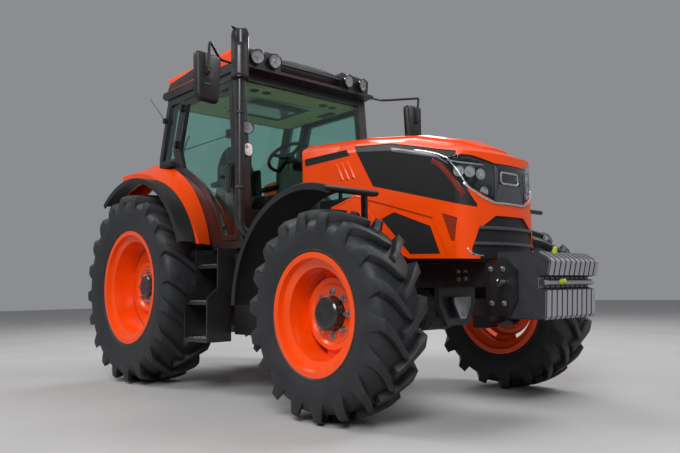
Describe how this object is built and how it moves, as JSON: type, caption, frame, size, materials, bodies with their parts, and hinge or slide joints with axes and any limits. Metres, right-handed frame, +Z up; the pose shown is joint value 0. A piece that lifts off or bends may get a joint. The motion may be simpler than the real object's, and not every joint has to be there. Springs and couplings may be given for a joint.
{
  "type": "farm tractor",
  "caption": "Farm tractor with large lugged tyres, a glazed cab with opening doors, a tilting hood, front weights and a rear hitch.",
  "frame": {"origin": "on the ground, at the middle of the overall length and width", "axes": "+X forward, +Y to the tractor's left, +Z up"},
  "size_m": [4.828, 2.4958, 2.92],
  "materials": {
    "orange_paint": "gloss",
    "rim_orange": "gloss",
    "black_paint": "satin",
    "cast_black": "satin",
    "black_plastic": "matte",
    "tyre_rubber": "matte",
    "tinted_glass": "clear",
    "lamp_lens": "gloss",
    "seat_cloth": "woven",
    "grey_plastic": "matte",
    "bare_steel": "brushed",
    "floor_rubber": "matte"
  },
  "bodies": {
    "chassis": {"access_steps": "black_paint", "cab_arches": "black_plastic", "cab_floor": "floor_rubber", "cab_frame": "black_paint", "coolers": "black_paint", "dashboard": "grey_plastic", "drawbar": "black_paint", "drive_shaft": "black_paint", "engine": "cast_black", "exhaust_stack": "black_paint", "fender_flares": "black_plastic", "front_axle": "cast_black", "front_frame": "black_paint", "front_weights": "cast_black", "gearbox": "cast_black", "headliner": "grey_plastic", "hitch_mount": "bare_steel", "hood_support": "black_paint", "mirrors": "black_plastic", "rear_axle": "cast_black", "rear_fenders": "orange_paint", "rear_window": "tinted_glass", "roof_cap": "orange_paint", "roof_frame": "black_plastic", "seat": "seat_cloth", "seat_base": "black_paint", "side_tanks": "black_plastic", "weight_carrier": "black_paint", "windscreen": "tinted_glass", "work_lamps": "lamp_lens"},
    "rear_wheel_left": {"rear_tyre_left": "tyre_rubber", "rear_rim_left": "rim_orange", "rear_hub_left": "black_paint"},
    "knuckle_left": {"knuckle_left": "cast_black", "front_fender_left": "black_plastic"},
    "front_wheel_left": {"front_tyre_left": "tyre_rubber", "front_rim_left": "rim_orange", "front_hub_left": "black_paint"},
    "door_left": {"door_left": "black_paint", "door_glass_left": "tinted_glass"},
    "rear_wheel_right": {"rear_tyre_right": "tyre_rubber", "rear_rim_right": "rim_orange", "rear_hub_right": "black_paint"},
    "knuckle_right": {"knuckle_right": "cast_black", "front_fender_right": "black_plastic"},
    "front_wheel_right": {"front_tyre_right": "tyre_rubber", "front_rim_right": "rim_orange", "front_hub_right": "black_paint"},
    "door_right": {"door_right": "black_paint", "door_glass_right": "tinted_glass"},
    "steering_rod": {"steering_rod": "bare_steel"},
    "steering_wheel": {"steering_wheel": "black_plastic"},
    "hood": {"hood_shell": "orange_paint", "hood_grilles": "black_plastic", "headlights": "lamp_lens"},
    "lower_links": {"lower_links": "black_paint"},
    "top_link": {"top_link": "bare_steel"},
    "lift_arms": {"lift_arms": "black_paint"},
    "lift_rods": {"lift_rods": "bare_steel"}
  },
  "joints": [
    {"name": "rear_wheel_left_spin", "type": "hinge", "parent": "chassis", "child": "rear_wheel_left", "pos_m": [-1.365, 0.86, 0.85], "axis": [0, 1, 0], "continuous": true},
    {"name": "steer_left", "type": "hinge", "parent": "chassis", "child": "knuckle_left", "pos_m": [1.283, 0.7, 0.65], "axis": [0, 0, 1], "range_deg": [-35, 35]},
    {"name": "front_wheel_left_spin", "type": "hinge", "parent": "knuckle_left", "child": "front_wheel_left", "pos_m": [1.283, 0.961, 0.65], "axis": [0, 1, 0], "continuous": true},
    {"name": "door_left_open", "type": "hinge", "parent": "chassis", "child": "door_left", "pos_m": [-1.108, 0.765, 2.1], "axis": [0.2998, 0, 0.954], "range_deg": [0, 65]},
    {"name": "rear_wheel_right_spin", "type": "hinge", "parent": "chassis", "child": "rear_wheel_right", "pos_m": [-1.365, -0.86, 0.85], "axis": [0, 1, 0], "continuous": true},
    {"name": "steer_right", "type": "hinge", "parent": "chassis", "child": "knuckle_right", "pos_m": [1.283, -0.7, 0.65], "axis": [0, 0, 1], "range_deg": [-35, 35]},
    {"name": "front_wheel_right_spin", "type": "hinge", "parent": "knuckle_right", "child": "front_wheel_right", "pos_m": [1.283, -0.961, 0.65], "axis": [0, 1, 0], "continuous": true},
    {"name": "door_right_open", "type": "hinge", "parent": "chassis", "child": "door_right", "pos_m": [-1.108, -0.765, 2.1], "axis": [-0.2998, 0, -0.954], "range_deg": [0, 65]},
    {"name": "steering_rod_slide", "type": "slide", "parent": "chassis", "child": "steering_rod", "axis": [0, 1, 0], "range_m": [-0.125, 0.125]},
    {"name": "steering_wheel_turn", "type": "hinge", "parent": "chassis", "child": "steering_wheel", "pos_m": [-0.355, 0, 2.01], "axis": [-0.5, 0, 0.866], "range_deg": [-480, 480]},
    {"name": "hood_open", "type": "hinge", "parent": "chassis", "child": "hood", "pos_m": [0.135, 0, 1.96], "axis": [0, -1, 0], "range_deg": [0, 50]},
    {"name": "lower_links_lift", "type": "hinge", "parent": "chassis", "child": "lower_links", "pos_m": [-1.495, 0, 0.555], "axis": [0, 1, 0], "range_deg": [-14, 30]},
    {"name": "top_link_turn", "type": "hinge", "parent": "chassis", "child": "top_link", "pos_m": [-1.765, 0, 1.03], "axis": [0, 1, 0], "range_deg": [-90, 0]},
    {"name": "lift_arms_turn", "type": "hinge", "parent": "chassis", "child": "lift_arms", "pos_m": [-1.615, 0, 1.15], "axis": [0, 1, 0], "range_deg": [-20, 42]},
    {"name": "lift_rods_turn", "type": "hinge", "parent": "lift_arms", "child": "lift_rods", "pos_m": [-1.975, 0, 1.15], "axis": [0, 1, 0], "range_deg": [-42, 20]}
  ],
  "couplings": [
    {"joint": "steer_right", "follows": "steer_left", "ratio": 1},
    {"joint": "steering_wheel_turn", "follows": "steer_left", "ratio": 13.5},
    {"joint": "steering_rod_slide", "follows": "steer_left", "m_per_rad": -0.19},
    {"joint": "lift_arms_turn", "follows": "lower_links_lift", "ratio": 1.3333},
    {"joint": "lift_rods_turn", "follows": "lower_links_lift", "ratio": -1.3333}
  ]
}
